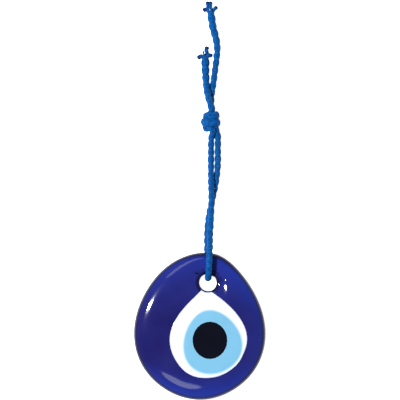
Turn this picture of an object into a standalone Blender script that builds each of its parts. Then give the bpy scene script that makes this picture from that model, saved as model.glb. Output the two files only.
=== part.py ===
"""Evil eye ornament: a pressed drop of cobalt glass with a fused eye, on a knotted loop of braided cord.

It lies on its back: +Z out of the eye's face, +Y from the eye to the knot. The origin is under the glass.
The hand-chosen routes and outlines are in millimetres, as (x, y) or (x, y, z).
"""

from collections import namedtuple
from math import cos, pi, sin, sqrt, tau

import bmesh
import bpy
from mathutils import Quaternion, Vector

MM = 0.001

# Driving dimensions of the glass, in its own frame: z = 0 is the plane of its back.
Drop = namedtuple("Drop", "centre half_width half_height taper fullness shoulder lean bow")
COBALT = Drop((0, 0), 34.75, 39.2, -0.115, -0.06, 0.058, 2.6, 0)
WHITE = Drop((4.68, -2.78), 20.04, 24.35, -0.285, -0.366, -0.285, -1.2, 1.3)
LIGHT_BLUE = Drop((7.0, -8.05), 15.45, 16.95, -0.122, -0.029, 0, 0, 1.5)
PUPIL = Drop((5.45, -7.1), 9.15, 9.85, 0, 0, 0, 0, 0)
THICKNESS = 8.0
WIDEST_HEIGHT = 2.7
PILLOW = 6
PILLOW_ROUND = 0.45
BACK_EDGE = 0.93
BACK_RISE = 0.9
RISE_START = 15
WHITE_DEPTH = 4.2
LIGHT_BLUE_DEPTH = 2.8
PUPIL_DEPTH = 1.5
FUSE_GAP = 0.3
HOLE_CENTRE = (4.4, 23.3)
HOLE_RADIUS = 4.5
FRONT_FLARE = 2.0
BACK_FLARE = 3.2
FLARE_STEPS = 6
HOLE_SIDES = 32
HOLE_BACK = 0.25
HOLE_FRONT = 7.7
HOLE_COLLAR = 0.4
TILT = 0.0478
UPHILL = (0.18, 0.984)

# Driving dimensions of the cord.
CORD_DIAMETER = 3.2
STRING_DIAMETER = 1.4
JOIN_GAP = 0.4
BIGHT_END_Y = 45
LIFT_Y = 84
SPLIT_Y = 128
KNOT_CENTRE = (5.8, 108.3, 4.05)
KNOT_HALF = (4.9, 4.9, 4.0)
KNOT_ENTRY_Y = 103.2
KNOT_EXIT_Y = 113.4

# The front leg rises out of the hole, runs over the rim and over the other leg, and lies down beside it.
FRONT_LEG = [
    (4.5, 25.5, 7.6), (4.55, 25.8, 10.2), (4.65, 27.3, 12.4), (4.8, 29.8, 13.6), (4.95, 33.0, 13.7),
    (5.2, 38.3, 12.5), (5.45, 43.0, 10.2), (5.5, 49.9, 6.9), (5.85, 56.3, 5.3), (6.1, 63.2, 5.1),
    (6.15, 69.0, 5.1), (6.1, 73.2, 4.75), (6.0, 77.5, 3.9), (5.95, 82.8, 2.4), (5.95, 88.1, 1.75),
    (5.95, 93.4, 1.7), (6.05, 98.7, 2.3), (6.1, 102.9, 3.3), (6.1, 106.0, 4.0),
]
# The back leg leaves the hole under the glass, lies along the floor and comes up on the right.
BACK_LEG = [
    (4.5, 25.5, 7.6), (4.45, 25.9, 5.1), (4.35, 27.5, 2.8), (4.3, 30.0, 1.75), (4.25, 33.2, 1.6),
    (4.0, 37.7, 1.6), (3.9, 43.0, 1.6), (3.95, 48.3, 1.6), (4.35, 55.2, 1.6), (5.1, 60.0, 1.6),
    (6.0, 63.7, 1.6), (6.95, 68.5, 1.6), (7.8, 72.2, 1.6), (8.7, 77.5, 1.6), (9.4, 82.8, 1.6),
    (9.65, 88.1, 1.6), (9.65, 93.4, 1.6), (9.7, 98.7, 2.1), (9.7, 102.9, 3.0), (9.6, 106.0, 3.8),
]
# Both tails leave the knot together, the short one on top, and part a little further up.
SHORT_TAIL = [
    (6.6, 110.5, 6.0), (6.3, 113.8, 6.2), (5.5, 117.8, 5.7), (4.45, 121.8, 5.0), (3.75, 125.8, 3.4),
    (3.3, 130.5, 1.7), (3.0, 135.8, 1.6), (2.97, 139.0, 1.6), (2.97, 141.6, 1.6),
]
LONG_TAIL = [
    (6.4, 110.5, 2.9), (6.4, 113.8, 2.6), (6.15, 117.8, 1.9), (6.2, 121.8, 1.6), (6.75, 125.8, 1.6),
    (7.5, 130.5, 1.6), (8.1, 135.8, 1.6), (8.7, 140.0, 1.6), (9.1, 143.7, 1.6), (9.3, 147.4, 1.6),
    (8.9, 150.8, 1.6), (8.05, 154.5, 1.6), (7.1, 158.2, 1.6), (6.4, 162.3, 1.6), (5.75, 166.4, 1.6),
]
# Where the strings of the braid come apart: each runs from its tail's end to its own melted tip.
STRING_ENDS = {
    "short_tail_string_left": [(2.0, 142.5, 1.5), (1.2, 143.2, 1.3), (0.1, 142.9, 1.0), (-1.1, 141.9, 0.8)],
    "short_tail_string_up": [(2.2, 142.4, 3.4), (2.2, 144.3, 3.2), (1.8, 146.1, 2.2)],
    "short_tail_string_long": [(3.6, 142.5, 1.1), (3.8, 144.4, 1.0), (3.5, 146.5, 0.9), (4.1, 148.4, 0.9)],
    "short_tail_string_right": [(4.0, 142.6, 3.2), (4.8, 143.6, 3.0), (5.6, 143.7, 2.0), (6.5, 143.3, 1.3)],
    "long_tail_string_left": [(4.9, 167.4, 0.9), (3.9, 167.9, 0.8), (2.8, 167.9, 0.8), (1.7, 167.3, 0.8)],
    "long_tail_string_right": [(6.8, 167.3, 1.9), (7.6, 168.0, 1.8), (8.4, 168.7, 1.3), (9.3, 169.4, 0.9)],
    "long_tail_string_top_left": [(4.6, 167.1, 2.9), (4.1, 169.5, 2.4), (3.9, 172.3, 1.2)],
    "long_tail_string_top_right": [(6.1, 167.1, 3.9), (5.8, 169.6, 3.2), (5.8, 172.0, 1.8)],
}

OUTLINE_STEPS = 64
BIGHT_STEP = 1.6
CORD_STEP = 6.4
STRING_STEP = 1.2
STEPS_PER_POINT = 24


def clear_scene():
    for item in list(bpy.data.objects):
        bpy.data.objects.remove(item)


def material(name, colour, roughness):
    made = bpy.data.materials.new(name)
    made.use_nodes = True
    shader = made.node_tree.nodes["Principled BSDF"]
    shader.inputs["Base Color"].default_value = (*colour, 1)
    shader.inputs["Roughness"].default_value = roughness
    shader.inputs["Metallic"].default_value = 0
    return made


def add_mesh(name, mesh, finish=None, parent=None):
    piece = bpy.data.objects.new(name, mesh)
    bpy.context.scene.collection.objects.link(piece)
    piece.parent = parent
    if finish:
        mesh.materials.append(finish)
    return piece


def as_guide(piece):
    piece.hide_render = True
    piece.display_type = "WIRE"
    return piece


def cut(piece, guide):
    modifier = piece.modifiers.new("cut_by_" + guide.name, "BOOLEAN")
    modifier.operation = "DIFFERENCE"
    modifier.solver = "EXACT"
    modifier.object = guide


def outline(drop, grow=0):
    """Points round a drop of glass, from its lowest point and up its right side, pushed out by grow."""
    points = []
    for step in range(OUTLINE_STEPS):
        turn = tau * step / OUTLINE_STEPS
        up = -cos(turn)
        width = 1 + drop.taper * up + drop.fullness * up**2 + drop.shoulder * up**5
        across = drop.half_width * sin(turn) * width + drop.lean * max(up, 0) ** 7 - drop.bow * up**2
        points.append(Vector((drop.centre[0] + across, drop.centre[1] + drop.half_height * up)))
    if not grow:
        return points
    grown = []
    for step, point in enumerate(points):
        along = points[(step + 1) % OUTLINE_STEPS] - points[step - 1]
        grown.append(point + grow * Vector((along.y, -along.x)).normalized())
    return grown


def share_of_outline(point):
    """How far a point is from the middle of the glass, as a share of the way to its edge."""
    up = max(-1, min(1, point.y / COBALT.half_height))
    width = 1 + COBALT.taper * up + COBALT.fullness * up**2 + COBALT.shoulder * up**5
    across = (point.x - COBALT.lean * max(up, 0) ** 7) / (COBALT.half_width * width)
    return min(1, sqrt(across**2 + up**2))


def front_height(share):
    return WIDEST_HEIGHT + (THICKNESS - WIDEST_HEIGHT) * (1 - share**PILLOW) ** PILLOW_ROUND


def back_height(share, y):
    """The back is pressed flat, rounded at its edge, and lifts a little towards the hole."""
    rim = max(0, share - BACK_EDGE) / (1 - BACK_EDGE)
    lift = BACK_RISE * (max(0, y - RISE_START) / (COBALT.half_height - RISE_START)) ** 2
    return lift + (WIDEST_HEIGHT - lift) * (1 - sqrt(max(0, 1 - rim**2)))


def lofted(name, rings, tip_low, tip_high):
    """A closed mesh through rings of points, from the lowest to the highest, closed by a fan at each end."""
    shape = bmesh.new()
    rows = [[shape.verts.new(point * MM) for point in ring] for ring in rings]
    low, high = shape.verts.new(tip_low * MM), shape.verts.new(tip_high * MM)
    count = len(rings[0])
    for step in range(count):
        after = (step + 1) % count
        shape.faces.new((low, rows[0][after], rows[0][step]))
        shape.faces.new((high, rows[-1][step], rows[-1][after]))
        for lower, upper in zip(rows, rows[1:]):
            shape.faces.new((lower[step], lower[after], upper[after], upper[step]))
    mesh = bpy.data.meshes.new(name)
    shape.to_mesh(mesh)
    shape.free()
    mesh.shade_smooth()
    return mesh


def cobalt_mesh():
    edge = outline(COBALT)
    back_shares = (0.25, 0.5, 0.75, BACK_EDGE, 0.955, 0.98, 0.994)
    front_shares = (0.994, 0.98, 0.955, 0.92, 0.87, 0.8, 0.7, 0.55, 0.35, 0.17)
    rings = []
    for share in back_shares:
        rings.append([(p * share).to_3d() + Vector((0, 0, back_height(share, p.y * share))) for p in edge])
    rings.append([p.to_3d() + Vector((0, 0, WIDEST_HEIGHT)) for p in edge])
    for share in front_shares:
        rings.append([(p * share).to_3d() + Vector((0, 0, front_height(share))) for p in edge])
    return lofted("cobalt_glass_body", rings, Vector((0, 0, 0)), Vector((0, 0, THICKNESS)))


def inlay_mesh(name, drop, depth, grow=0, above=0):
    """One drop of glass let into the face: its floor is depth down, its top follows the face."""
    edge = outline(drop, grow)
    middle = Vector(drop.centre)
    floor = THICKNESS - depth
    rings = [[p.to_3d() + Vector((0, 0, floor)) for p in edge]]
    for share in (1, 0.66, 0.33):
        ring = []
        for point in edge:
            inner = middle + share * (point - middle)
            ring.append(inner.to_3d() + Vector((0, 0, front_height(share_of_outline(inner)) + above)))
        rings.append(ring)
    top = front_height(share_of_outline(middle)) + above
    return lofted(name, rings, middle.to_3d() + Vector((0, 0, floor)), middle.to_3d() + Vector((0, 0, top)))


def turned(name, profile):
    """A closed mesh turned round the hole's axis from (height, radius) pairs, the lowest first."""
    rings = []
    for height, radius in profile:
        ring = []
        for side in range(HOLE_SIDES):
            turn = tau * side / HOLE_SIDES
            across = Vector(HOLE_CENTRE) + radius * Vector((cos(turn), sin(turn)))
            ring.append(across.to_3d() + Vector((0, 0, height)))
        rings.append(ring)
    low, high = Vector((*HOLE_CENTRE, profile[0][0])), Vector((*HOLE_CENTRE, profile[-1][0]))
    return lofted(name, rings, low, high)


def hole_profile():
    """The pierced hole is narrowest inside the glass and flares to both faces."""
    profile = [(-1, HOLE_RADIUS + BACK_FLARE)]
    for step in range(FLARE_STEPS, -1, -1):
        turn = pi / 2 * step / FLARE_STEPS
        profile.append((BACK_FLARE * (1 - sin(turn)) + HOLE_BACK, HOLE_RADIUS + BACK_FLARE * (1 - cos(turn))))
    for step in range(FLARE_STEPS + 1):
        turn = pi / 2 * step / FLARE_STEPS
        height = HOLE_FRONT - FRONT_FLARE * (1 - sin(turn))
        profile.append((height, HOLE_RADIUS + FRONT_FLARE * (1 - cos(turn))))
    return profile + [(THICKNESS + 1, HOLE_RADIUS + FRONT_FLARE)]


def collar_profile(grow):
    radius = HOLE_RADIUS + FRONT_FLARE + HOLE_COLLAR + grow
    return [(-1, radius), (THICKNESS + 2, radius)]


def tilted_frame(mesh):
    """The frame that lays the glass on its lowest edge and on the cord under it, over the origin."""
    frame = bpy.data.objects.new("glass_frame", None)
    bpy.context.scene.collection.objects.link(frame)
    turn = Quaternion((UPHILL[1], -UPHILL[0], 0), TILT)
    corners = [turn @ vertex.co for vertex in mesh.vertices]
    low = Vector(min(corner[axis] for corner in corners) for axis in range(3))
    high = Vector(max(corner[axis] for corner in corners) for axis in range(3))
    frame.rotation_mode = "QUATERNION"
    frame.rotation_quaternion = turn
    frame.location = (-(low.x + high.x) / 2, -(low.y + high.y) / 2, -low.z)
    return frame


def build_glass():
    cobalt = material("cobalt glass", (0.02, 0.03, 0.22), 0.08)
    white = material("white glass", (0.95, 0.96, 0.97), 0.1)
    light_blue = material("light blue glass", (0.28, 0.62, 0.87), 0.1)
    dark = material("dark glass", (0.005, 0.008, 0.015), 0.08)
    body_mesh = cobalt_mesh()
    frame = tilted_frame(body_mesh)
    hole = as_guide(add_mesh("hole_guide", turned("hole_guide", hole_profile()), parent=frame))
    collar = as_guide(add_mesh("collar_guide", turned("collar_guide", collar_profile(0)), parent=frame))
    tip_mesh = turned("tip_guide", collar_profile(FUSE_GAP))
    tip = as_guide(add_mesh("tip_guide", tip_mesh, parent=frame))
    layers = [
        ("white_glass_drop", WHITE, WHITE_DEPTH, white),
        ("light_blue_glass_drop", LIGHT_BLUE, LIGHT_BLUE_DEPTH, light_blue),
        ("dark_glass_pupil", PUPIL, PUPIL_DEPTH, dark),
    ]
    under = add_mesh("cobalt_glass_body", body_mesh, cobalt, frame)
    for name, drop, depth, finish in layers:
        pocket_mesh = inlay_mesh(name + "_pocket", drop, depth, FUSE_GAP, above=1)
        pocket = as_guide(add_mesh(name + "_pocket", pocket_mesh, parent=frame))
        inlay = add_mesh(name, inlay_mesh(name, drop, depth - FUSE_GAP), finish, frame)
        cut(under, pocket)
        if drop is WHITE:
            cut(pocket, collar)
            cut(inlay, tip)
            cut(under, hole)
        under = inlay


def smooth_route(points, step, diameter):
    """Points about step apart on a smooth curve through the route's own points, none below the ground."""
    route = [Vector(point) for point in points]
    route = [2 * route[0] - route[1], *route, 2 * route[-1] - route[-2]]
    dense = []
    for a, b, c, d in zip(route, route[1:], route[2:], route[3:]):
        for part in range(STEPS_PER_POINT):
            t = part / STEPS_PER_POINT
            bend = 2 * b + (c - a) * t + (2 * a - 5 * b + 4 * c - d) * t**2 + (3 * b - a - 3 * c + d) * t**3
            bend /= 2
            bend.z = max(bend.z, diameter / 2)
            dense.append(bend)
    dense.append(route[-2])
    length = sum((q - p).length for p, q in zip(dense, dense[1:]))
    pace = length / max(1, round(length / step))
    even, travelled = [dense[0]], 0
    for p, q in zip(dense, dense[1:]):
        travelled += (q - p).length
        if travelled >= pace * len(even):
            even.append(q)
    if (even[-1] - dense[-1]).length > pace / 2:
        even.append(dense[-1])
    even[-1] = dense[-1]
    return even


def between(points, start=None, end=None):
    """The stretch of a route between two planes across Y, its ends half a gap back from each plane."""
    kept = list(points)
    if start is not None:
        kept = [crossing(points, start + JOIN_GAP / 2)] + [p for p in kept if p.y > start + 1]
    if end is not None:
        kept = [p for p in kept if p.y < end - 1] + [crossing(points, end - JOIN_GAP / 2)]
    return kept


def crossing(points, y):
    for p, q in zip(points, points[1:]):
        if p.y <= y <= q.y:
            return p.lerp(q, (y - p.y) / (q.y - p.y))
    raise ValueError(f"no crossing at {y}")


def add_tube(name, points, diameter, finish):
    line = bpy.data.curves.new(name, "CURVE")
    line.dimensions = "3D"
    line.bevel_depth = diameter / 2 * MM
    line.bevel_resolution = 2
    line.use_fill_caps = True
    spline = line.splines.new("POLY")
    spline.points.add(len(points) - 1)
    for target, point in zip(spline.points, points):
        target.co = (*(point * MM), 1)
    line.materials.append(finish)
    tube = bpy.data.objects.new(name, line)
    bpy.context.scene.collection.objects.link(tube)


def knot_mesh():
    """The outer shape of the knot: a rounded block with a groove between its two turns."""
    rings = []
    levels, sides = 12, 24
    for level in range(1, levels):
        tip = pi * level / levels - pi / 2
        ring = []
        for side in range(sides):
            turn = tau * side / sides
            groove = 1 - 0.07 * max(0, cos(2 * turn)) ** 2
            flat = Vector((squared(cos(turn)), squared(sin(turn)))) * squared(cos(tip)) * groove
            reach = Vector((flat.x * KNOT_HALF[0], flat.y * KNOT_HALF[1], squared(sin(tip)) * KNOT_HALF[2]))
            ring.append(Vector(KNOT_CENTRE) + reach)
        rings.append(ring)
    low = Vector(KNOT_CENTRE) - Vector((0, 0, KNOT_HALF[2]))
    high = Vector(KNOT_CENTRE) + Vector((0, 0, KNOT_HALF[2]))
    return lofted("cord_knot", rings, low, high)


def squared(value):
    """A sine or cosine pushed out towards the corners of a rounded block."""
    return abs(value) ** 0.7 * (1 if value >= 0 else -1)


def build_cord():
    blue = material("braided cord", (0.0, 0.1, 0.4), 0.7)
    tip = material("melted string", (0.0, 0.06, 0.22), 0.5)
    legs = {"front_leg": FRONT_LEG, "back_leg": BACK_LEG}
    bights = {}
    for name, route in legs.items():
        fine = smooth_route(route, BIGHT_STEP, CORD_DIAMETER)
        coarse = smooth_route(route, CORD_STEP, CORD_DIAMETER)
        bights[name] = between(fine, end=BIGHT_END_Y)
        add_tube(name + "_lower", between(coarse, BIGHT_END_Y, LIFT_Y), CORD_DIAMETER, blue)
        add_tube(name + "_upper", between(coarse, LIFT_Y, KNOT_ENTRY_Y), CORD_DIAMETER, blue)
    add_tube("cord_bight", bights["front_leg"][::-1] + bights["back_leg"][1:], CORD_DIAMETER, blue)
    add_mesh("cord_knot", knot_mesh(), blue)
    for name, route in {"short_tail": SHORT_TAIL, "long_tail": LONG_TAIL}.items():
        path = smooth_route(route, CORD_STEP / 2, CORD_DIAMETER)
        add_tube(name + "_root", between(path, KNOT_EXIT_Y, SPLIT_Y), CORD_DIAMETER, blue)
        add_tube(name, between(path, SPLIT_Y), CORD_DIAMETER, blue)
    for name, route in STRING_ENDS.items():
        add_tube(name, smooth_route(route, STRING_STEP, STRING_DIAMETER), STRING_DIAMETER, tip)


clear_scene()
build_glass()
build_cord()
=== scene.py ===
"""The looks of the evil eye ornament: fused glass, and a braided cord with its overhand knot and loose ends.

The cord is in metres, in the frame of the CAD model. It is one braid of four strings that follows one line
from the short tail's tip, through the knot and the hole, to the long tail's tip. It is cut into pieces at the
hole and at the knot. The glass is worked out in millimetres, in a frame of its own, and then put where the
CAD's glass is.
"""

from collections import namedtuple
from itertools import permutations
from math import pi, sin, tau

import bpy
import numpy as np
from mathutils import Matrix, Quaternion, Vector


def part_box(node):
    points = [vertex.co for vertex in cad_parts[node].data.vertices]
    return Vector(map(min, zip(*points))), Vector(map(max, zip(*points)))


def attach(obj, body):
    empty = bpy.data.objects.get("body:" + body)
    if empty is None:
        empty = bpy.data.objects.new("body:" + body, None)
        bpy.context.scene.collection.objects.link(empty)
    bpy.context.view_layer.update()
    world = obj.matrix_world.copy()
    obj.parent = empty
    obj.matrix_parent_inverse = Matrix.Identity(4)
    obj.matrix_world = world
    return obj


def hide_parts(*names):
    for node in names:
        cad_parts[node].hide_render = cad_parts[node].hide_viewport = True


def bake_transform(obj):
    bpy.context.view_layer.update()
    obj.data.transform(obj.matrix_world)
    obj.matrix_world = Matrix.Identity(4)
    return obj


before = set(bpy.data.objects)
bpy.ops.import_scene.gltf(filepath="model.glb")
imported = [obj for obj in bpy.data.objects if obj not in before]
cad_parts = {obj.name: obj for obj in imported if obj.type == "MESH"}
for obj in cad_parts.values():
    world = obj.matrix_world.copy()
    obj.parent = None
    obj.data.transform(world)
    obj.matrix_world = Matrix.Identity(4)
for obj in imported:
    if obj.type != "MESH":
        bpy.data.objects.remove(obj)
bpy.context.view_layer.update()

MM = 0.001

# The glass: outlines are in millimetres, in the glass's own frame, where z = 0 is the plane of its back.
Drop = namedtuple("Drop", "centre half_width half_height taper fullness shoulder lean bow")
COBALT = Drop((0, 0), 34.75, 39.2, -0.115, -0.06, 0.058, 2.6, 0)
WHITE = Drop((4.68, -2.78), 20.04, 24.35, -0.285, -0.366, -0.285, -1.2, 1.3)
LIGHT_BLUE = Drop((7.0, -8.05), 15.45, 16.95, -0.122, -0.029, 0, 0, 1.5)
PUPIL = Drop((5.45, -7.1), 9.15, 9.85, 0, 0, 0, 0, 0)
OUTLINE_STEPS = 256
THICKNESS = 8.0
WIDEST_HEIGHT = 2.7
PILLOW = 6
PILLOW_ROUND = 0.45
BACK_EDGE = 0.93
TILT = 0.0478
UPHILL = (0.18, 0.984)

# The hole and the glass round it. The back rises a little more towards the top than the CAD's, and its lip is
# rounder, so that the strings of the braid stay clear of the glass when the loop swings.
HOLE_CENTRE = np.array((4.4, 23.3))
HOLE_RADIUS = 4.5
LIP_RINGS = 12
FRONT_FLARE = 2.0
BACK_FLARE = 3.1
BACK_RISE = 1.3
RISE_START = 15
FRONT_DIP = 1.3
DIP_WIDTH = 7.5
DENT_CENTRE = (12.4, 22.2)
DENT_SIZE = (1.8, 6.5)
DENT_DEPTH = 0.32

# The three glasses let into the face.
INLAY_STEPS = 192
INLAY_DEPTH = 0.45
INLAY_EDGE_RINGS = 9
INLAY_FACE_RINGS = 22
WHITE_FROM_HOLE = 5.1
LIGHT_BLUE_SPREAD = 1.15

# The cord.
BRAID_RADIUS = 0.96 * MM
BRAID_WEAVE = 0.19 * MM
BRAID_PITCH = 8.0 * MM
STRING_WIDTH = 2.45 * MM
STRING_DEPTH = 1.28 * MM
STRING_SIDES = 14
PLIES = 3
PLY_PITCH = 3.0 * MM
PLY_GROOVE = 0.07
ROUTE_STEP = 0.4 * MM
CORD_FLOOR = 1.66 * MM
TAIL_SWELL = 0.28
SWELL_LENGTH = 25 * MM
KNOT_AXIS = (5.8 * MM, 4.05 * MM)
KNOT_HALF = (4.9 * MM, 4.0 * MM)
KNOT_SQUASH = 0.76
KNOT_SPREAD = 0.26
FLOOR_GAP = 0.00002

# The cord's route, in the order in which it is followed.
SHORT_TAIL = [
    (0.00297, 0.1416, 0.0016), (0.00297, 0.139, 0.0016), (0.003, 0.1358, 0.0016),
    (0.0033, 0.1305, 0.0017), (0.00375, 0.1258, 0.0034), (0.00445, 0.1218, 0.005),
    (0.0055, 0.1178, 0.0057), (0.0061, 0.1146, 0.0053), (0.0057, 0.1125, 0.0044),
]
KNOT_TURNS = [
    (0.00492, 0.1108, 0.0038), (0.00393, 0.1103, 0.0028), (0.00305, 0.1106, 0.0036),
    (0.00316, 0.1113, 0.0052), (0.00448, 0.1116, 0.0063), (0.00668, 0.1117, 0.0067),
    (0.00855, 0.1118, 0.0057), (0.00927, 0.1116, 0.0037), (0.008, 0.1108, 0.0018),
    (0.00514, 0.1097, 0.0014), (0.00272, 0.1087, 0.0023), (0.00178, 0.108, 0.0042),
    (0.00349, 0.1079, 0.0062), (0.00602, 0.108, 0.00685), (0.00855, 0.1081, 0.0061),
    (0.00976, 0.108, 0.0041), (0.00888, 0.1073, 0.0021), (0.00624, 0.1065, 0.0014),
    (0.00393, 0.1057, 0.0018), (0.00294, 0.1052, 0.0032), (0.0036, 0.105, 0.0045),
    (0.00503, 0.1051, 0.0053), (0.00635, 0.1047, 0.0054),
]
FRONT_LEG = [
    (0.0069, 0.1032, 0.0046), (0.00645, 0.1012, 0.0033), (0.00605, 0.0987, 0.0023),
    (0.00595, 0.0934, 0.0017), (0.00595, 0.0881, 0.00175), (0.00595, 0.0828, 0.0024),
    (0.006, 0.0775, 0.0039), (0.0061, 0.0732, 0.00475), (0.00615, 0.069, 0.0051),
    (0.0061, 0.0632, 0.0051), (0.00585, 0.0563, 0.0053), (0.0055, 0.0499, 0.0069),
    (0.00545, 0.043, 0.0102), (0.0052, 0.0383, 0.0125), (0.00495, 0.033, 0.0137),
    (0.0048, 0.0298, 0.0136), (0.00465, 0.0273, 0.0124), (0.00455, 0.0258, 0.0102),
]
BACK_LEG = [
    (0.0045, 0.0255, 0.0076), (0.00445, 0.0259, 0.0051), (0.00435, 0.0275, 0.0028),
    (0.0043, 0.03, 0.00175), (0.00425, 0.0332, 0.0016), (0.004, 0.0377, 0.0016),
    (0.0039, 0.043, 0.0016), (0.00395, 0.0483, 0.0016), (0.00435, 0.0552, 0.0016),
    (0.0051, 0.06, 0.0016), (0.006, 0.0637, 0.0016), (0.00695, 0.0685, 0.0016),
    (0.0078, 0.0722, 0.0016), (0.0087, 0.0775, 0.0016), (0.0094, 0.0828, 0.0016),
    (0.00965, 0.0881, 0.0016), (0.00965, 0.0934, 0.0016), (0.0097, 0.0987, 0.0019),
    (0.0095, 0.1013, 0.0023),
]
KNOT_CORE = [
    (0.0089, 0.1037, 0.0027), (0.0081, 0.106, 0.0034), (0.0074, 0.1085, 0.0039),
]
LONG_TAIL = [
    (0.0071, 0.1112, 0.0035), (0.0067, 0.1138, 0.0024), (0.00615, 0.1178, 0.0019),
    (0.0062, 0.1218, 0.0016), (0.00675, 0.1258, 0.0016), (0.0075, 0.1305, 0.0016),
    (0.0081, 0.1358, 0.0016), (0.0087, 0.14, 0.0016), (0.0091, 0.1437, 0.0016),
    (0.0093, 0.1474, 0.0016), (0.0089, 0.1508, 0.0016), (0.00805, 0.1545, 0.0016),
    (0.0071, 0.1582, 0.0016), (0.0064, 0.1623, 0.0016), (0.00575, 0.1664, 0.0016),
]

# The loose ends. Some have a diameter of their own at the melted tip: one has frayed down to a wisp.
END_STEP = 0.25 * MM
TIP_ROUND = 0.55 * MM
MELT_LENGTH = 1.9 * MM
MELT_FADE = 0.8 * MM
TIP_SIZES = {
    "short_tail_string_left": 2.5 * MM,
    "short_tail_string_up": 0.9 * MM,
    "short_tail_string_long": 2.4 * MM,
    "long_tail_string_left": 2.5 * MM,
}
TIP_SIZE = 2.15 * MM
STRING_ENDS = {
    "short_tail_string_left": [(0.0012, 0.1432, 0.0013), (0.0001, 0.1429, 0.001), (-0.0011, 0.1419, 0.0008)],
    "short_tail_string_up": [(0.0022, 0.1443, 0.0032), (0.0018, 0.1461, 0.0022)],
    "short_tail_string_long": [(0.0038, 0.1444, 0.001), (0.0035, 0.1465, 0.0009), (0.0041, 0.1484, 0.0009)],
    "short_tail_string_right": [(0.0048, 0.1436, 0.003), (0.0056, 0.1437, 0.002), (0.0065, 0.1433, 0.0013)],
    "long_tail_string_left": [(0.0039, 0.1679, 0.0008), (0.0028, 0.1679, 0.0008), (0.0017, 0.1673, 0.0008)],
    "long_tail_string_right": [(0.0076, 0.168, 0.0018), (0.0084, 0.1687, 0.0013), (0.0093, 0.1694, 0.0009)],
    "long_tail_string_top_left": [(0.0042, 0.1695, 0.0024), (0.0041, 0.1722, 0.0014)],
    "long_tail_string_top_right": [(0.0057, 0.1696, 0.0032), (0.0058, 0.172, 0.0019)],
}


# ---------------------------------------------------------------- camera


def add_camera():
    """Straight above the ornament, high up, with +Y up in the picture."""
    view = bpy.data.cameras.new("camera")
    view.sensor_width = 36
    view.lens = 508.7
    camera = bpy.data.objects.new("camera", view)
    camera.location = (0.00016, 0.0669, 3.0)
    bpy.context.scene.collection.objects.link(camera)
    bpy.context.scene.camera = camera


# ---------------------------------------------------------------- meshes


def add_piece(name, vertices, faces, finish, smooth=True, values=None, vectors=None, sharp=()):
    """A mesh object. values and vectors are point attributes that its material reads."""
    mesh = bpy.data.meshes.new(name)
    mesh.from_pydata(np.asarray(vertices).tolist(), [], [list(face) for face in faces])
    mesh.validate()
    if smooth:
        mesh.shade_smooth()
    for index in sharp:
        mesh.polygons[index].use_smooth = False
    for key, numbers in (values or {}).items():
        layer = mesh.attributes.new(key, "FLOAT", "POINT")
        layer.data.foreach_set("value", np.asarray(numbers, np.float32).ravel())
    for key, numbers in (vectors or {}).items():
        layer = mesh.attributes.new(key, "FLOAT_VECTOR", "POINT")
        layer.data.foreach_set("vector", np.asarray(numbers, np.float32).ravel())
    mesh.materials.append(finish)
    piece = bpy.data.objects.new(name, mesh)
    bpy.context.scene.collection.objects.link(piece)
    return piece


def unit(rows):
    return rows / np.maximum(np.linalg.norm(rows, axis=-1, keepdims=True), 1e-12)


def across(rows, along):
    """The part of each row that is square to its direction along, as a unit vector."""
    return unit(rows - (rows * along).sum(1, keepdims=True) * along)


# ---------------------------------------------------------------- the cord's line


def smooth_route(points, steps=40):
    """A dense curve through the points, and the number of its samples between two of them."""
    route = np.array([2 * np.array(points[0]) - points[1], *points, 2 * np.array(points[-1]) - points[-2]])
    t = np.arange(steps)[:, None] / steps
    spans = []
    for a, b, c, d in zip(route, route[1:], route[2:], route[3:]):
        square = 2 * a - 5 * b + 4 * c - d
        cube = 3 * b - a - 3 * c + d
        spans.append((2 * b + (c - a) * t + square * t**2 + cube * t**3) / 2)
    return np.vstack([*spans, route[-2]]), steps


def distances(points):
    return np.concatenate([[0], np.cumsum(np.linalg.norm(np.diff(points, axis=0), axis=1))])


def resampled(points, step):
    gone = distances(points)
    even = np.linspace(0, gone[-1], max(3, int(round(gone[-1] / step)) + 1))
    return np.column_stack([np.interp(even, gone, points[:, axis]) for axis in range(3)])


def frames(points, first=(0, 0, 1)):
    """The direction of a line at each point, and a pair of axes square to it that never twist about it."""
    along = unit(np.gradient(points, axis=0))
    side = np.array(first, float)
    sides = []
    for direction in along:
        side = side - side.dot(direction) * direction
        side /= np.linalg.norm(side)
        sides.append(side)
    sides = np.array(sides)
    return along, sides, np.cross(along, sides)


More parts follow.
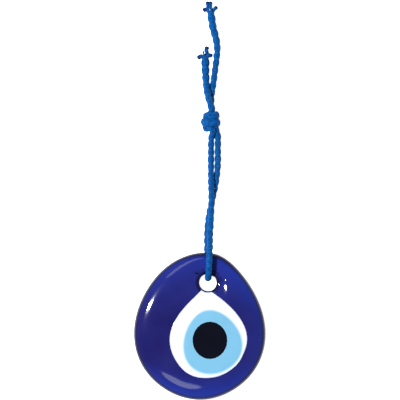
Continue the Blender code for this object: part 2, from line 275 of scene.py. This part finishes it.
class Line:
    """The whole cord's centreline, with the place along it where each stretch starts."""

    def __init__(self):
        stretches = [SHORT_TAIL, KNOT_TURNS, FRONT_LEG, BACK_LEG, KNOT_CORE, LONG_TAIL]
        names = ["short_tail", "knot_turns", "front_leg", "back_leg", "knot_core", "long_tail"]
        dense, steps = smooth_route([point for stretch in stretches for point in stretch])
        dense[:, 2] = np.maximum(dense[:, 2], CORD_FLOOR)
        gone = distances(dense)
        self.points = resampled(dense, ROUTE_STEP)
        self.gone = np.linspace(0, gone[-1], len(self.points))
        self.along, self.side, self.up = frames(self.points)
        starts = np.cumsum([0] + [len(stretch) for stretch in stretches[:-1]]) * steps
        ends = [*gone[starts[1:]], gone[-1]]
        self.spans = {}
        for name, start, end in zip(names, gone[starts], ends):
            self.spans[name] = tuple(np.searchsorted(self.gone, place - 1e-9) for place in (start, end))
        self.flat, self.flat_axis = self.knot_squash()
        to_end = np.minimum(self.gone, self.gone[-1] - self.gone)
        self.swell = 1 + TAIL_SWELL * np.clip(1 - to_end / SWELL_LENGTH, 0, 1)

    def knot_squash(self):
        """How much the cord is pressed flat against the knot's middle, and in which direction."""
        x, z = KNOT_AXIS
        outward = np.column_stack([
            (self.points[:, 0] - x) / KNOT_HALF[0] ** 2,
            np.zeros(len(self.points)),
            (self.points[:, 2] - z) / KNOT_HALF[1] ** 2,
        ])
        reach = np.hypot((self.points[:, 0] - x) / KNOT_HALF[0], (self.points[:, 2] - z) / KNOT_HALF[1])
        first, last = self.spans["knot_turns"]
        index = np.arange(len(self.points))
        ramp = 3 * MM / ROUTE_STEP
        inside = np.clip(np.minimum(index - first - ramp, last - index) / ramp + 0.5, 0, 1)
        share = inside * np.clip((reach - 0.3) / 0.25, 0, 1)
        return 1 - (1 - KNOT_SQUASH) * share, unit(outward)

    def strand(self, number, first, last):
        """One of the braid's four strings between two samples of the line, and its outward directions."""
        part = slice(first, last + 1)
        turn = tau * self.gone[part] / BRAID_PITCH
        way = 1 if number < 2 else -1
        angle = way * turn + (number % 2) * pi
        reach = (BRAID_RADIUS + way * BRAID_WEAVE * np.cos(2 * turn)) * self.swell[part]
        outward = np.cos(angle)[:, None] * self.side[part] + np.sin(angle)[:, None] * self.up[part]
        return self.points[part] + reach[:, None] * outward, outward

    def squashed(self, rings, first, last):
        """Rings of points round the line, pressed flat where the knot is tight."""
        part = slice(first, last + 1)
        offset = rings - self.points[part][:, None]
        axis = self.flat_axis[part][:, None]
        press = (1 - self.flat[part])[:, None, None]
        offset = offset - press * (offset * axis).sum(2, keepdims=True) * axis
        offset[..., 1] *= 1 + KNOT_SPREAD * press[..., 0] / (1 - KNOT_SQUASH)
        return self.points[part][:, None] + offset


def string_rings(points, outward, width, depth, ply=1.0, start=0.0):
    """Rings of a three-ply string, how deep each point is in a groove, and its place on the fibres."""
    along = unit(np.gradient(points, axis=0))
    out = across(outward, along)
    side = np.cross(along, out)
    gone = distances(points) + start
    spin = tau * np.arange(STRING_SIDES) / STRING_SIDES
    phase = PLIES * (spin[None, :] - (tau * gone / (PLIES * PLY_PITCH))[:, None])
    ply = np.broadcast_to(ply, len(points))[:, None]
    swell = 1 + PLY_GROOVE * ply * (np.cos(phase) - 0.3 * np.cos(phase) ** 2)
    width, depth = (np.broadcast_to(size, len(points))[:, None] / 2 for size in (width, depth))
    rings = points[:, None] + (depth * swell * np.cos(spin))[..., None] * out[:, None]
    rings += (width * swell * np.sin(spin))[..., None] * side[:, None]
    twist = spin[None, :] - (tau * gone / PLY_PITCH)[:, None] * 0.45
    length = np.broadcast_to(gone[:, None] / MM, twist.shape)
    fibre = np.stack([np.cos(twist), np.sin(twist), length], axis=-1)
    return rings, (0.5 - 0.5 * np.cos(phase)) * ply, fibre


def ring_faces(rings, sides, base=0, closed=False):
    """Faces between each ring of points and the next one, and from the last to the first if closed."""
    faces = []
    for ring in range(rings if closed else rings - 1):
        low = base + ring * sides
        high = base + (ring + 1) % rings * sides
        for side in range(sides):
            after = (side + 1) % sides
            faces.append((low + side, low + after, high + after, high + side))
    return faces


def tube_faces(rings, sides, base):
    """The faces of a tube. The last two are its flat ends."""
    start = range(base, base + sides)
    end = range(base + (rings - 1) * sides, base + rings * sides)
    return ring_faces(rings, sides, base) + [tuple(reversed(start)), tuple(end)]


def braid(line, name, spans, finish):
    """A piece of the braid: four strings along each of the line's given stretches."""
    vertices, faces, grooves, fibres, caps = [], [], [], [], []
    for first, last in spans:
        for number in range(4):
            points, outward = line.strand(number, first, last)
            swell = line.swell[first : last + 1]
            size = (STRING_WIDTH * swell, STRING_DEPTH * swell)
            rings, groove_shade, fibre = string_rings(points, outward, *size, start=line.gone[first])
            rings = line.squashed(rings, first, last)
            faces += tube_faces(len(rings), STRING_SIDES, len(vertices) * STRING_SIDES)
            caps += [len(faces) - 2, len(faces) - 1]
            vertices += list(rings)
            grooves += list(groove_shade)
            fibres += list(fibre + np.array((0, 0, 17.0 * number)))
    vertices = np.array(vertices).reshape(-1, 3)
    vertices[:, 2] = np.maximum(vertices[:, 2], FLOOR_GAP)
    values = {"groove_shade": np.array(grooves), "melt": np.zeros(len(vertices))}
    vectors = {"fibre": np.array(fibres)}
    return add_piece(name, vertices, faces, finish, values=values, vectors=vectors, sharp=caps)


def string_end(name, start, before, out, points, tip_size, finish):
    """One loose string: it leaves the braid, turns round and full, and ends in a melted, darkened blob."""
    dense, steps = smooth_route([before, start, *points], 24)
    path = resampled(dense[steps:], END_STEP)
    gone = distances(path)
    side = frames(path, out)[1]
    left = gone[-1] - gone
    round_off = np.clip(left / TIP_ROUND, 0, 1)
    blunt = np.maximum(np.sqrt(np.maximum(0, 1 - (1 - round_off) ** 2)), 0.12)
    melt = np.clip((MELT_LENGTH - left) / MELT_FADE, 0, 1)
    opening = np.clip(gone / gone[-1] / 0.6, 0, 1)
    full = (1 - 0.12 * (1 - melt)) * blunt
    width = (STRING_WIDTH + (tip_size - STRING_WIDTH) * opening) * full
    depth = (STRING_DEPTH + (0.92 * tip_size - STRING_DEPTH) * opening) * full
    rings, groove_shade, fibre = string_rings(path, side, width, depth, ply=1.6 * (1 - melt))
    faces = tube_faces(len(path), STRING_SIDES, 0)
    vertices = rings.reshape(-1, 3)
    vertices[:, 2] = np.maximum(vertices[:, 2], FLOOR_GAP)
    values = {"groove_shade": groove_shade, "melt": np.repeat(melt, STRING_SIDES)}
    return add_piece(name, vertices, faces, finish, values=values, vectors={"fibre": fibre})


def add_string_ends(line, tail, sample, step, finish):
    """The tail's four strings, each led to a loose end, matched so that they have the shortest way in all.

    sample is the line's last sample at that end, and step is the way from there into the cord.
    """
    names = [name for name in STRING_ENDS if name.startswith(tail + "_string")]
    first, last = sorted((sample, sample + 3 * step))
    starts = []
    for number in range(4):
        points, outward = line.strand(number, first, last)
        points, outward = points[::step], outward[::step]
        starts.append((points[0], points[2], outward[0]))
    best = min(
        permutations(range(4)),
        key=lambda order: sum(np.linalg.norm(starts[k][0] - STRING_ENDS[n][0]) for k, n in zip(order, names)),
    )
    pieces = []
    for number, name in zip(best, names):
        start, before, out = starts[number]
        tip_size = TIP_SIZES.get(name, TIP_SIZE)
        piece = string_end(name + "_end", start, before, out, STRING_ENDS[name], tip_size, finish)
        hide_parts(name)
        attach(piece, tail)
        pieces.append(piece)
    return pieces


def add_cord():
    """The whole cord: the knot, the loose ends, the two legs of the loop and the two tails."""
    line = Line()
    blue = cord_material()
    spans = line.spans
    end = len(line.points) - 1
    knot = braid(line, "overhand_knot", [spans["knot_turns"], spans["knot_core"]], blue)
    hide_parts("cord_knot")
    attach(knot, "cord_top")
    ends = {
        "short_tail": add_string_ends(line, "short_tail", 0, 1, blue),
        "long_tail": add_string_ends(line, "long_tail", end, -1, blue),
    }
    for name, nodes, with_pieces in (
        ("front_leg", ["front_leg_lower", "front_leg_upper", "cord_bight"], [knot]),
        ("back_leg", ["back_leg_lower", "back_leg_upper"], []),
    ):
        piece = braid(line, name + "_braid", [spans[name]], blue)
        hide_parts(*nodes)
        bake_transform(piece)
    for name, split in (("short_tail", spans["short_tail"][1]), ("long_tail", spans["long_tail"][0])):
        piece = braid(line, name + "_braid", [spans[name]], blue)
        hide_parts(name + "_root", name)
        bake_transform(piece)


# ---------------------------------------------------------------- materials


def new_material(name):
    made = bpy.data.materials.new(name)
    made.use_nodes = True
    nodes = made.node_tree.nodes
    return made, nodes, made.node_tree.links, nodes["Principled BSDF"]


def attribute(nodes, name):
    node = nodes.new("ShaderNodeAttribute")
    node.attribute_name = name
    return node


def noise_node(nodes, links, vector, scale, detail=3.0, rough=0.55):
    node = nodes.new("ShaderNodeTexNoise")
    node.inputs["Scale"].default_value = scale
    node.inputs["Detail"].default_value = detail
    node.inputs["Roughness"].default_value = rough
    links.new(vector, node.inputs["Vector"])
    return node.outputs["Fac"]


def ramp(nodes, links, factor, stops):
    """A colour ramp: stops are (place, (r, g, b))."""
    node = nodes.new("ShaderNodeValToRGB")
    elements = node.color_ramp.elements
    while len(elements) < len(stops):
        elements.new(0.5)
    for element, (place, colour) in zip(elements, stops):
        element.position = place
        element.color = (*colour, 1)
    links.new(factor, node.inputs["Fac"])
    return node.outputs["Color"]


def mix(nodes, links, factor, a, b, kind="MIX"):
    node = nodes.new("ShaderNodeMix")
    node.data_type = "RGBA"
    node.blend_type = kind
    for socket, value in ((node.inputs["Factor"], factor), (node.inputs["A"], a), (node.inputs["B"], b)):
        if isinstance(value, bpy.types.NodeSocket):
            links.new(value, socket)
        elif isinstance(value, tuple):
            socket.default_value = (*value, 1)
        else:
            socket.default_value = value
    return node.outputs["Result"]


def remap(nodes, links, value, low, high, to_low=0.0, to_high=1.0):
    node = nodes.new("ShaderNodeMapRange")
    node.interpolation_type = "SMOOTHSTEP"
    for socket, number in (("From Min", low), ("From Max", high), ("To Min", to_low), ("To Max", to_high)):
        node.inputs[socket].default_value = number
    links.new(value, node.inputs["Value"])
    return node.outputs["Result"]


def bump(nodes, links, height, strength, distance):
    node = nodes.new("ShaderNodeBump")
    node.inputs["Strength"].default_value = strength
    node.inputs["Distance"].default_value = distance
    links.new(height, node.inputs["Height"])
    return node.outputs["Normal"]


def cord_material():
    """Blue synthetic string: fine fibres along each ply, painted shade deep in the grooves, and fused and
    navy at a melted tip.
    """
    made, nodes, links, shader = new_material("braided cord")
    fibre = attribute(nodes, "fibre").outputs["Vector"]
    stretch = nodes.new("ShaderNodeVectorMath")
    stretch.operation = "MULTIPLY"
    stretch.inputs[1].default_value = (4.0, 4.0, 0.35)
    links.new(fibre, stretch.inputs[0])
    streaks = noise_node(nodes, links, stretch.outputs["Vector"], 2.2, 4.0)
    patches = noise_node(nodes, links, fibre, 0.45, 2.0)
    colour = ramp(nodes, links, streaks, [
        (0.30, (0.0004, 0.042, 0.172)), (0.52, (0.0008, 0.079, 0.285)), (0.72, (0.0015, 0.124, 0.385)),
    ])
    faded = ramp(nodes, links, patches, [(0.35, (0.72, 0.74, 0.78)), (0.65, (1.12, 1.12, 1.1))])
    colour = mix(nodes, links, 1.0, colour, faded, "MULTIPLY")
    groove_shade = attribute(nodes, "groove_shade").outputs["Fac"]
    # Painted shade: darker navy mixed in deep in the grooves between the plies.
    colour = mix(nodes, links, remap(nodes, links, groove_shade, 0.55, 1.0, 0.0, 0.6), colour, (0.001, 0.03, 0.15))
    melt = attribute(nodes, "melt").outputs["Fac"]
    colour = mix(nodes, links, remap(nodes, links, melt, 0.15, 0.9), colour, (0.002, 0.018, 0.07))
    links.new(colour, shader.inputs["Base Color"])
    links.new(remap(nodes, links, melt, 0.2, 1.0, 0.62, 0.28), shader.inputs["Roughness"])
    shader.inputs["Specular IOR Level"].default_value = 0.06
    links.new(bump(nodes, links, streaks, 0.5, 0.00012), shader.inputs["Normal"])
    return made


def object_place(nodes):
    return nodes.new("ShaderNodeTexCoord").outputs["Object"]


def cobalt_material():
    """Cobalt glass: purple-blue with faint streaks, a painted glow of light through it in places, and painted
    shade, almost black, where it turns under.
    """
    made, nodes, links, shader = new_material("cobalt glass")
    place = object_place(nodes)
    swirl = noise_node(nodes, links, place, 45, 3.0)
    painted_glow = attribute(nodes, "painted_glow").outputs["Fac"]
    deep = ramp(nodes, links, swirl, [(0.3, (0.0085, 0.008, 0.084)), (0.7, (0.0145, 0.0145, 0.118))])
    # Painted light: a lighter, clearer blue mixed in where light would pass through the glass.
    colour = mix(nodes, links, painted_glow, deep, (0.012, 0.028, 0.258))
    # Painted shade: almost black at the rim where the face turns under and round the edge of the hole.
    colour = mix(nodes, links, attribute(nodes, "turned").outputs["Fac"], colour, (0.002, 0.002, 0.036))
    links.new(colour, shader.inputs["Base Color"])
    shader.inputs["Roughness"].default_value = 0.07
    shader.inputs["IOR"].default_value = 1.52
    shader.inputs["Specular IOR Level"].default_value = 0.32
    return made


def opal_material(name, inner, outer, edge_range, streak):
    """Opal glass with faint streaks, whose colour runs into another one over a range of mm from its edge."""
    made, nodes, links, shader = new_material(name)
    place = object_place(nodes)
    swirl = noise_node(nodes, links, place, 90, 3.0)
    edge = attribute(nodes, "from_edge").outputs["Fac"]
    dark = tuple(channel * streak for channel in inner)
    body = ramp(nodes, links, swirl, [(0.3, dark), (0.7, inner)])
    colour = mix(nodes, links, remap(nodes, links, edge, *edge_range), outer, body)
    links.new(colour, shader.inputs["Base Color"])
    shader.inputs["Roughness"].default_value = 0.08
    shader.inputs["IOR"].default_value = 1.5
    return made


# ---------------------------------------------------------------- glass


def outline(drop, steps=OUTLINE_STEPS):
    turn = tau * np.arange(steps) / steps
    up = -np.cos(turn)
    width = 1 + drop.taper * up + drop.fullness * up**2 + drop.shoulder * up**5
    x = drop.half_width * np.sin(turn) * width + drop.lean * np.maximum(up, 0) ** 7 - drop.bow * up**2
    return drop.centre + np.column_stack([x, drop.half_height * up])


def share_of_outline(points):
    """How far points are from the middle of the glass, as a share of the way to its edge."""
    up = np.clip(points[..., 1] / COBALT.half_height, -1, 1)
    width = 1 + COBALT.taper * up + COBALT.fullness * up**2 + COBALT.shoulder * up**5
    x = (points[..., 0] - COBALT.lean * np.maximum(up, 0) ** 7) / (COBALT.half_width * width)
    return np.minimum(1, np.hypot(x, up))


def flare(points, size, dip):
    """How far a face is drawn in at the hole: a quarter circle at its edge, and a shallow dip further out."""
    gap = np.clip(np.linalg.norm(points - HOLE_CENTRE, axis=-1) - HOLE_RADIUS, 0, None)
    quarter = size - np.sqrt(np.maximum(0, size**2 - np.clip(size - gap, 0, size) ** 2))
    return quarter + dip * np.exp(-((gap / DIP_WIDTH) ** 2))


def ripple(points):
    """The faint waves that the press and the fire leave on the face, and the dent beside the hole."""
    x, y = points[..., 0], points[..., 1]
    waves = 0.040 * np.sin(0.21 * x + 0.8) * np.sin(0.17 * y + 0.4) + 0.022 * np.sin(0.37 * x - 0.29 * y)
    waves += 0.012 * np.sin(0.11 * x * y / 9 + 0.5 * x)
    dent = np.exp(-(((x - DENT_CENTRE[0]) / DENT_SIZE[0]) ** 2) - ((y - DENT_CENTRE[1]) / DENT_SIZE[1]) ** 2)
    return waves - DENT_DEPTH * dent


def front_face(points):
    share = share_of_outline(points)
    dome = (1 - share**PILLOW) ** PILLOW_ROUND
    sunk = flare(points, FRONT_FLARE, FRONT_DIP)
    return WIDEST_HEIGHT + (THICKNESS - WIDEST_HEIGHT) * dome - sunk + ripple(points) * dome


def back_face(points):
    share = share_of_outline(points)
    rim = np.clip(share - BACK_EDGE, 0, None) / (1 - BACK_EDGE)
    climb = np.clip(points[..., 1] - RISE_START, 0, None) / (COBALT.half_height - RISE_START)
    lift = BACK_RISE * climb**2
    rounded = (WIDEST_HEIGHT - lift) * (1 - np.sqrt(np.maximum(0, 1 - rim**2)))
    return lift + rounded + flare(points, BACK_FLARE, 0)


def inward(edge, share):
    """The points where the lines from the outline to the hole's centre cross a given share of the outline."""
    low, high = np.zeros(len(edge)), np.ones(len(edge))
    for _ in range(30):
        middle = (low + high) / 2
        wide = share_of_outline(HOLE_CENTRE + middle[:, None] * (edge - HOLE_CENTRE)) > share
        high = np.where(wide, middle, high)
        low = np.where(wide, low, middle)
    return HOLE_CENTRE + low[:, None] * (edge - HOLE_CENTRE)


def face_rings(edge, rim_shares, rings_across):
    """Rings over one face of the glass, from its edge to the hole."""
    rings = [inward(edge, share) for share in rim_shares]
    spokes = unit(edge - HOLE_CENTRE)
    outer = np.linalg.norm(rings[-1] - HOLE_CENTRE, axis=1)
    lip = HOLE_RADIUS + max(FRONT_FLARE, BACK_FLARE)
    for step in range(1, rings_across + 1):
        reach = outer + (lip - outer) * step / rings_across
        rings.append(HOLE_CENTRE + reach[:, None] * spokes)
    for step in range(1, LIP_RINGS + 1):
        reach = HOLE_RADIUS + (lip - HOLE_RADIUS) * (1 - sin(pi / 2 * step / LIP_RINGS))
        rings.append(HOLE_CENTRE + reach * spokes)
    return rings


def glass_turn():
    """The tilt of the glass as a matrix: the cord's back leg holds its upper edge off the floor."""
    return np.array(Quaternion((UPHILL[1], -UPHILL[0], 0), TILT).to_matrix())


def placed(points, place):
    """Points of the glass's own frame, in mm, put where the CAD's glass lies, in metres."""
    return (points @ glass_turn().T + place) * MM


def painted_light_glow(points):
    """How much painted glow of light through the glass is mixed in: towards its top, and along its right and
    its lower rim.
    """
    share = share_of_outline(points[:, :2])
    x, y = points[:, 0] / COBALT.half_width, points[:, 1] / COBALT.half_height
    rim = np.clip((share - 0.55) / 0.4, 0, 1) ** 2
    top = np.clip((y - 0.15) / 0.6, 0, 1) * (0.55 + 0.45 * np.clip(x + 0.3, 0, 1))
    right = np.clip((x - 0.45) / 0.5, 0, 1) * 0.45
    low = np.clip((-y - 0.45) / 0.4, 0, 1) * 0.9
    return np.clip(top * (0.45 + 0.55 * rim) + (right + low) * (0.2 + 0.8 * rim), 0, 1)


def painted_edge_shade(points):
    """Where painted shade darkens the glass: its very rim, where the face turns under, and the edge of the
    hole.
    """
    rim = np.clip((share_of_outline(points[:, :2]) - 0.925) / 0.05, 0, 1) ** 1.5
    gap = np.linalg.norm(points[:, :2] - HOLE_CENTRE, axis=1) - HOLE_RADIUS
    return np.maximum(rim, np.clip(1.6 - gap / 1.6, 0, 1))


def add_cobalt():
    """The cobalt glass: rings out over its back and in over its face, closed through the hole.

    The place returned, in mm, is where the frame of the glass lies in the CAD's.
    """
    edge = outline(COBALT)
    rise = np.linspace(0, 0.94, 26)
    front_shares = (1 - rise ** (1 / PILLOW_ROUND)) ** (1 / PILLOW)
    fall = np.sin(np.linspace(0, pi / 2, 12))
    back_shares = BACK_EDGE + (1 - BACK_EDGE) * np.sqrt(np.maximum(0, 1 - fall**2))
    rings = []
    for ring in reversed(face_rings(edge, back_shares[1:], 20)):
        rings.append(np.column_stack([ring, back_face(ring)]))
    for ring in face_rings(edge, front_shares, 48):
        rings.append(np.column_stack([ring, front_face(ring)]))
    points = np.array(rings).reshape(-1, 3)
    turned = points @ glass_turn().T
    low, high = (np.array(corner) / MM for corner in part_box("cobalt_glass_body"))
    place = (low + high) / 2 - (turned.min(0) + turned.max(0)) / 2
    place[2] = low[2] - turned[:, 2].min()
    faces = ring_faces(len(rings), len(edge), closed=True)
    # Colour masks: a painted glow of light through the glass, and painted shade at the rim and round the
    # hole.
    values = {"painted_glow": painted_light_glow(points), "turned": painted_edge_shade(points)}
    body = add_piece("cobalt_body", placed(points, place), faces, cobalt_material(), values=values)
    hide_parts("cobalt_glass_body")
    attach(body, "glass")
    return place


def clear_of_hole(edge, middle, reach):
    """The outline with its points inside a circle round the hole drawn back towards the middle."""
    kept = edge.copy()
    for index, point in enumerate(edge):
        for share in np.linspace(1, 0, 401):
            candidate = middle + share * (point - middle)
            if np.linalg.norm(candidate - HOLE_CENTRE) >= reach:
                kept[index] = candidate
                break
    return kept


def add_inlay(name, node, drop, finish, place, under, raised, soft, hole_reach=None, spread=0):
    """One glass let into the face: a thin lens with a rounded edge.

    It stands proud of the face by under mm at its edge and by raised mm inside it. The rounding is soft mm
    wide.
    """
    middle = np.array(drop.centre, float)
    edge = outline(drop, INLAY_STEPS)
    edge = edge + spread * unit(edge - middle)
    if hole_reach:
        edge = clear_of_hole(edge, middle, hole_reach)
    size = np.linalg.norm(edge - middle, axis=1)
    rounding = soft * (1 - np.cos(np.linspace(0, pi / 2, INLAY_EDGE_RINGS)))
    inner = np.linspace(soft * 1.3, size.min() * 0.98, INLAY_FACE_RINGS)
    shares = [np.clip(1 - step / size, 0, 1) for step in rounding]
    shares += [np.full(len(edge), 1 - step / size.min()) for step in inner]
    rings = [np.column_stack([edge, front_face(edge) - INLAY_DEPTH])]
    distance = [np.zeros(len(edge))]
    for share in shares:
        ring = middle + share[:, None] * (edge - middle)
        gap = (1 - share) * size
        swell = np.sqrt(np.maximum(0, 1 - (1 - np.clip(gap / soft, 0, 1)) ** 2))
        rings.append(np.column_stack([ring, front_face(ring) + under + (raised - under) * swell]))
        distance.append(gap)
    face_height = front_face(middle[None])[0]
    top = [*middle, face_height + raised]
    bottom = [*middle, face_height - INLAY_DEPTH]
    points = np.vstack([*rings, top, bottom])
    faces = ring_faces(len(rings), len(edge))
    last_ring = (len(rings) - 1) * len(edge)
    for step in range(len(edge)):
        after = (step + 1) % len(edge)
        faces.append((last_ring + step, last_ring + after, len(points) - 2))
        faces.append((after, step, len(points) - 1))
    values = {"from_edge": np.concatenate([*distance, [size.min()], [0]])}
    piece = add_piece(name, placed(points, place), faces, finish, values=values)
    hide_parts(node)
    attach(piece, "glass")


def add_glass():
    place = add_cobalt()
    white = opal_material("white glass", (0.86, 0.87, 0.86), (0.42, 0.47, 0.68), (0.0, 1.0), 0.985)
    light = opal_material("light blue glass", (0.163, 0.405, 0.59), (0.70, 0.76, 0.80), (0.0, 2.0), 0.93)
    dark = opal_material("dark glass", (0.002, 0.003, 0.008), (0.001, 0.001, 0.003), (0.0, 0.8), 0.7)
    add_inlay(
        "white_drop", "white_glass_drop", WHITE, white, place,
        under=0, raised=0.10, soft=0.7, hole_reach=WHITE_FROM_HOLE,
    )
    add_inlay(
        "light_blue_drop", "light_blue_glass_drop", LIGHT_BLUE, light, place,
        under=0.10, raised=0.16, soft=0.9, spread=LIGHT_BLUE_SPREAD,
    )
    add_inlay(
        "dark_pupil", "dark_glass_pupil", PUPIL, dark, place,
        under=0.17, raised=0.19, soft=0.6,
    )


# ---------------------------------------------------------------- floor and light


def add_floor():
    mesh = bpy.data.meshes.new("floor")
    mesh.from_pydata([(-2, -2, 0), (2, -2, 0), (2, 2, 0), (-2, 2, 0)], [], [(0, 1, 2, 3)])
    made, nodes, links, shader = new_material("white ground")
    grain = noise_node(nodes, links, object_place(nodes), 30)
    colour = ramp(nodes, links, grain, [(0.3, (0.93, 0.93, 0.93)), (0.7, (0.95, 0.95, 0.95))])
    links.new(colour, shader.inputs["Base Color"])
    shader.inputs["Roughness"].default_value = 0.9
    shader.inputs["Specular IOR Level"].default_value = 0.1
    shader.inputs["Emission Color"].default_value = (1, 1, 1, 1)
    shader.inputs["Emission Strength"].default_value = 0.95
    mesh.materials.append(made)
    floor = bpy.data.objects.new("floor", mesh)
    bpy.context.scene.collection.objects.link(floor)
    floor.location.z = -0.0001


def add_light(name, place, target, size, power, shape="ELLIPSE"):
    lamp = bpy.data.lights.new(name, "AREA")
    lamp.shape = shape
    lamp.size, lamp.size_y = size
    lamp.energy = power
    made = bpy.data.objects.new(name, lamp)
    made.location = place
    made.rotation_euler = (Vector(target) - Vector(place)).to_track_quat("-Z", "Y").to_euler()
    bpy.context.scene.collection.objects.link(made)


def add_lights():
    world = bpy.data.worlds.new("studio")
    world.use_nodes = True
    nodes, links = world.node_tree.nodes, world.node_tree.links
    background = nodes["Background"]
    background.inputs["Color"].default_value = (0.93, 0.96, 1.0, 1)
    height = nodes.new("ShaderNodeSeparateXYZ")
    links.new(nodes.new("ShaderNodeTexCoord").outputs["Generated"], height.inputs["Vector"])
    links.new(remap(nodes, links, height.outputs["Z"], 0.25, 0.75, 0.5, 0.09), background.inputs["Strength"])
    bpy.context.scene.world = world
    middle = (0, 0.05, 0)
    add_light("window", (-0.53, 0.10, 1.0), (-0.02, 0.01, 0), (0.055, 0.13), 19, "RECTANGLE")
    add_light("upper_panel", (-0.23, 0.50, 1.0), middle, (0.58, 0.26), 1.1)
    add_light("lower_panel", (-0.17, -0.50, 1.0), middle, (0.34, 0.21), 0.75)


def main():
    add_camera()
    add_cord()
    add_glass()
    add_floor()
    add_lights()
    bpy.context.scene.view_settings.view_transform = "Standard"


main()
bpy.context.view_layer.update()
